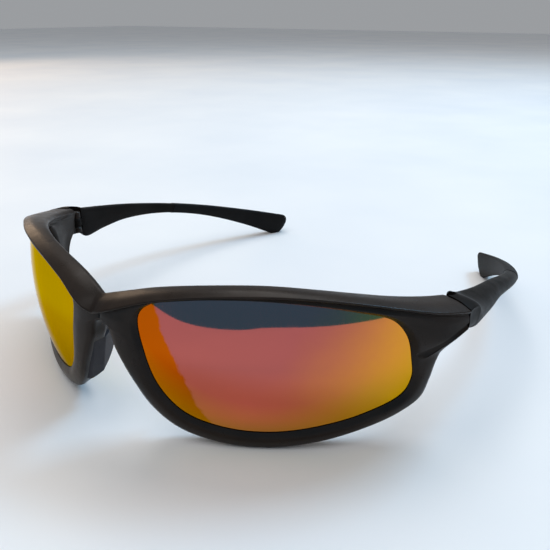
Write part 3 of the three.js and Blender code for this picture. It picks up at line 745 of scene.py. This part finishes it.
def moulded_plastic(name, dark, light, roughness, gloss):
    """Satin moulded plastic with a fine spark-eroded grain and slightly uneven gloss."""
    finish = Finish(name, Roughness=roughness, IOR=1.5, Specular_IOR_Level=gloss)
    cloud = finish.noise(90, 3)
    grain = finish.noise(5200, 2, 0.6)
    wave = finish.noise(260, 2)
    finish.feed("Base Color", finish.clouded(cloud, dark, light))
    uneven = finish.spread(wave, roughness - 0.04, roughness + 0.05, *NOISE_RANGE)
    speckle = finish.spread(grain, -0.05, 0.05, *NOISE_RANGE)
    finish.feed("Roughness", finish.maths("ADD", uneven, speckle))
    finish.bump([(wave, 0.12, 0.0004), (grain, 0.25, 0.00003)])
    return finish.material


def rubber(name, dark, light, roughness):
    """Matt rubber or nylon with a coarse grain."""
    finish = Finish(name, Roughness=roughness, IOR=1.45, Specular_IOR_Level=0.1)
    cloud = finish.noise(140, 3)
    grain = finish.noise(3600, 3, 0.65)
    finish.feed("Base Color", finish.clouded(cloud, dark, light))
    finish.feed("Roughness", finish.spread(grain, roughness - 0.08, roughness + 0.08, *NOISE_RANGE))
    finish.bump([(cloud, 0.1, 0.0005), (grain, 0.5, 0.00005)])
    return finish.material


def metal(name, tint, roughness):
    """Plain metal with fine scratches."""
    finish = Finish(name, Roughness=roughness, Metallic=1.0)
    scratch = finish.noise(6000, 2, 0.6)
    dull = tuple(0.7 * v for v in tint[:3]) + (1,)
    finish.feed("Base Color", finish.mix(finish.spread(scratch, 0, 1, *NOISE_RANGE), tint, dull))
    finish.feed("Roughness", finish.spread(scratch, roughness - 0.08, roughness + 0.1, *NOISE_RANGE))
    finish.bump([(scratch, 0.2, 0.00002)])
    return finish.material


# The lens's colours run across it from the nose, in metres from the middle, and down from its top; some of
# them are painted reflections.
LENS_TOP, LENS_HEIGHT = 0.0375, 0.034
NASAL_LEAN, NASAL_FROM, NASAL_TO = 0.35, 0.0126, 0.0133
TEMPORAL_LEAN, TEMPORAL_FROM, TEMPORAL_FULL, TEMPORAL_TO = 0.42, 0.044, 0.062, 0.072
SLANT_FROM, SLANT_FULL = 0.28, 0.5
# The coating's orange by the nose, partly a painted reflection of a dark warm thing beside the lens.
LENS_NASAL_PAINTED_REFLECTION = (0.56, 0.1, 0.0015, 1)
# The coating's red, lighter towards the bottom as a painted reflection of bright floor.
LENS_RED_AND_PAINTED_REFLECTION = [
    (0.0, (0.50, 0.115, 0.105, 1)), (0.45, (0.50, 0.12, 0.10, 1)), (0.65, (0.68, 0.15, 0.10, 1)),
    (0.85, (0.84, 0.18, 0.12, 1)), (1.0, (0.74, 0.17, 0.12, 1)),
]
LENS_TEMPORAL = [
    (0.0, (0.55, 0.14, 0.06, 1)), (0.5, (0.72, 0.25, 0.045, 1)), (1.0, (0.82, 0.40, 0.02, 1)),
]
LENS_SLANT = [
    (0.0, (0.72, 0.30, 0.02, 1)), (0.5, (0.56, 0.33, 0.004, 1)), (0.72, (0.52, 0.38, 0.008, 1)),
    (1.0, (0.45, 0.40, 0.05, 1)),
]


def lens_colour(finish):
    """Orange by the nose, partly a painted reflection; red in the middle, lighter towards the bottom as a
    painted reflection of bright floor; gold by the temple and wherever it is seen at a slant.
    """
    split = finish.node("ShaderNodeSeparateXYZ", {"Vector": finish.place})
    side = finish.maths("ABSOLUTE", split.outputs["X"])
    drop = finish.maths("SUBTRACT", LENS_TOP, split.outputs["Z"])
    drift = finish.spread(finish.noise(60, 4, 0.6), -0.002, 0.002, *WIDE_NOISE_RANGE)
    ragged = finish.spread(finish.noise(420, 3, 0.6), -0.0005, 0.0005, *WIDE_NOISE_RANGE)
    inner = finish.maths("SUBTRACT", side, finish.maths("MULTIPLY", drop, NASAL_LEAN))
    inner = finish.maths("ADD", finish.maths("ADD", inner, ragged), finish.maths("MULTIPLY", drift, 0.4))
    outer = finish.maths("ADD", side, finish.maths("MULTIPLY", drop, TEMPORAL_LEAN))
    outer = finish.maths("ADD", outer, drift)
    # Lighter towards the bottom: a painted reflection of bright floor.
    red_and_painted_reflection = finish.ramp(finish.spread(drop, 0, 1, 0, LENS_HEIGHT), LENS_RED_AND_PAINTED_REFLECTION)
    # The nasal orange patch: partly the coating's colour, partly a painted reflection.
    base = finish.mix(finish.spread(inner, 1, 0, NASAL_FROM, NASAL_TO), red_and_painted_reflection, LENS_NASAL_PAINTED_REFLECTION)
    gold = finish.ramp(finish.spread(outer, 0, 1, TEMPORAL_FROM, TEMPORAL_TO), LENS_TEMPORAL)
    base = finish.mix(finish.spread(outer, 0, 1, TEMPORAL_FROM, TEMPORAL_FULL), base, gold)
    slant = finish.node("ShaderNodeLayerWeight", {"Blend": 0.5}).outputs["Facing"]
    slanted = finish.spread(slant, 0, 1, SLANT_FROM, SLANT_FULL)
    return finish.mix(slanted, base, finish.ramp(slant, LENS_SLANT))


def mirror_lens(name):
    """Fire mirror coating, with painted reflections in its colour, on a smooth lens with a faint haze."""
    finish = Finish(name, Roughness=0.04, Metallic=1.0, Specular_Tint=(0.85, 0.6, 0.12, 1))
    finish.feed("Base Color", lens_colour(finish))
    finish.feed("Roughness", finish.spread(finish.noise(900, 3, 0.6), 0.03, 0.06, *NOISE_RANGE))
    finish.bump([(finish.noise(60, 2), 0.05, 0.0003)])
    return finish.material


FRAME_DARK, FRAME_LIGHT = colour(25, 18, 14), colour(37, 28, 22)
TEMPLE_DARK, TEMPLE_LIGHT = colour(18, 16, 15), colour(27, 24, 22)
MATERIALS = {
    "frame_plastic": moulded_plastic("satin frame plastic", FRAME_DARK, FRAME_LIGHT, 0.32, 0.15),
    "temple_plastic": moulded_plastic("satin temple plastic", TEMPLE_DARK, TEMPLE_LIGHT, 0.42, 0.04),
    "mirror_lens": mirror_lens("fire mirror lens"),
    "pad_rubber": rubber("nose pad rubber", colour(42, 41, 46), colour(54, 52, 56), 0.55),
    "grip_rubber": rubber("ear grip rubber", colour(15, 15, 16), colour(22, 21, 21), 0.55),
    "screw_steel": metal("screw steel", (0.46, 0.46, 0.47, 1), 0.32),
    "nut_brass": metal("nut brass", (0.62, 0.44, 0.19, 1), 0.3),
    "washer_nylon": rubber("washer nylon", colour(24, 24, 25), colour(34, 34, 35), 0.5),
}


# ---- the pieces ----
def dress(obj, slot):
    obj.data.materials.clear()
    obj.data.materials.append(MATERIALS[slot])


def add_piece(obj, node, body, slot):
    """A finished piece: shaded, dressed, riding on its body in place of its CAD node."""
    smooth(obj)
    dress(obj, slot)
    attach(obj, body)
    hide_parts(node)
    obj.name = node + "_visual"


add_piece(make_front(), "front_frame", "front", "frame_plastic")
SIDES = {
    "lens": (make_lens, "front", "mirror_lens"),
    "nose_pad": (nose_pad, "front", "pad_rubber"),
    "temple": (make_temple, "arm", "temple_plastic"),
    "ear_grip": (make_grip, "arm", "grip_rubber"),
}
for piece, (make, body, slot) in SIDES.items():
    for side, made in zip(("left", "right"), both_sides(make)):
        rides_on = f"{side}_arm" if body == "arm" else body
        add_piece(made, f"{piece}_{side}", rides_on, slot)

HARDWARE = {
    "hinge_screw": "screw_steel",
    "hinge_nut": "nut_brass",
    "hinge_washer_lower": "washer_nylon",
    "hinge_washer_upper": "washer_nylon",
}
for piece, slot in HARDWARE.items():
    for side in ("left", "right"):
        dress(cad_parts[f"{piece}_{side}"], slot)


# ---- floor, light and camera ----
FLOOR_HALF = 3.0
# A low glowing teal card stands on this curve in front of the glasses, where only mirrors see it: it glows
# though it is no lamp, as a teal reflection across the top of the lenses.
CARD_LINE = [
    (-0.6, -0.7), (-0.055, -0.245), (0.01, -0.18), (0.06, -0.163), (0.095, -0.161), (0.145, -0.115),
    (0.175, -0.07),
]
CARD_HEIGHT, CARD_STEPS = 0.05, 80


def stage_sheet(name, corners, faces, material):
    """A sheet that belongs to the stage, not to the object."""
    mesh = bpy.data.meshes.new(name)
    mesh.from_pydata(corners, [], faces)
    mesh.materials.append(material)
    obj = bpy.data.objects.new(name, mesh)
    bpy.context.scene.collection.objects.link(obj)
    return obj


def floor_material():
    finish = Finish("pale floor", Roughness=0.6)
    stops = [(0.3, colour(226, 229, 233)), (0.7, colour(236, 237, 238))]
    finish.feed("Base Color", finish.ramp(finish.noise(9, 3), stops))
    finish.bump([(finish.noise(700, 3), 0.05, 0.0002)])
    return finish.material


def glowing_card_material():
    # Teal glow on a black sheet, seen only in reflections.
    finish = Finish("glowing teal reflection card", Roughness=1.0, Emission_Color=(0.05, 0.36, 0.58, 1), Emission_Strength=1.0)
    finish.shader.inputs["Base Color"].default_value = (0, 0, 0, 1)
    return finish.material


def stage_card():
    line = catmull(CARD_LINE, np.linspace(0, 1, CARD_STEPS + 1))
    corners = [(x, y, z) for z in (0.0, CARD_HEIGHT) for x, y in line]
    above = CARD_STEPS + 1
    faces = [(i, i + 1, i + 1 + above, i + above) for i in range(CARD_STEPS)]
    card = stage_sheet("card", corners, faces, glowing_card_material())
    card.visible_camera = card.visible_diffuse = card.visible_shadow = False


FLOOR_CORNERS = [(FLOOR_HALF * x, FLOOR_HALF * y, 0) for x, y in ((-1, -1), (1, -1), (1, 1), (-1, 1))]
stage_sheet("floor", FLOOR_CORNERS, [(0, 1, 2, 3)], floor_material())
stage_card()

LIGHT_TARGET = Vector((0, 0, 0.02))


def area_light(name, place, size, power, tint):
    """A soft light that faces the glasses."""
    lamp = bpy.data.lights.new(name, "AREA")
    lamp.shape, lamp.size, lamp.size_y = "RECTANGLE", *size
    lamp.energy, lamp.color = power, tint
    obj = bpy.data.objects.new(name, lamp)
    obj.location = place
    obj.rotation_euler = (LIGHT_TARGET - Vector(place)).to_track_quat("-Z", "Y").to_euler()
    bpy.context.scene.collection.objects.link(obj)


area_light("key light", (-0.25, 0.5, 1.1), (0.8, 0.7), 5, (1, 0.97, 0.93))
area_light("cool light", (0.3, 0.7, 0.9), (0.4, 0.3), 6, (0.42, 0.72, 1))
area_light("warm light", (-1.1, 0.45, 0.4), (0.4, 0.4), 1.5, (1, 0.7, 0.45))
area_light("fill light", (-0.1, -0.5, 1.2), (1.2, 1.0), 6, (1, 0.97, 0.94))

world = bpy.data.worlds.new("studio")
world.use_nodes = True
background = world.node_tree.nodes["Background"]
background.inputs["Color"].default_value = (0.86, 0.89, 0.93, 1)
background.inputs["Strength"].default_value = 0.38
bpy.context.scene.world = world
bpy.context.scene.view_settings.view_transform = "Standard"

CAMERA_PLACE = Vector((0.1004, -0.158575, 0.0917))
CAMERA_TARGET = Vector((-0.00217, 0.001515, 0.01301))
CAMERA_LENS, CAMERA_ROLL = 41.83, 0.14
camera_data = bpy.data.cameras.new("camera")
camera_data.sensor_width, camera_data.lens = 36, CAMERA_LENS
camera_data.clip_start, camera_data.clip_end = 0.005, 20
camera = bpy.data.objects.new("camera", camera_data)
camera.location = CAMERA_PLACE
look = (CAMERA_TARGET - CAMERA_PLACE).to_track_quat("-Z", "Y").to_matrix().to_4x4()
camera.rotation_euler = (look @ Matrix.Rotation(math.radians(CAMERA_ROLL), 4, "Z")).to_euler()
bpy.context.scene.collection.objects.link(camera)
bpy.context.scene.camera = camera
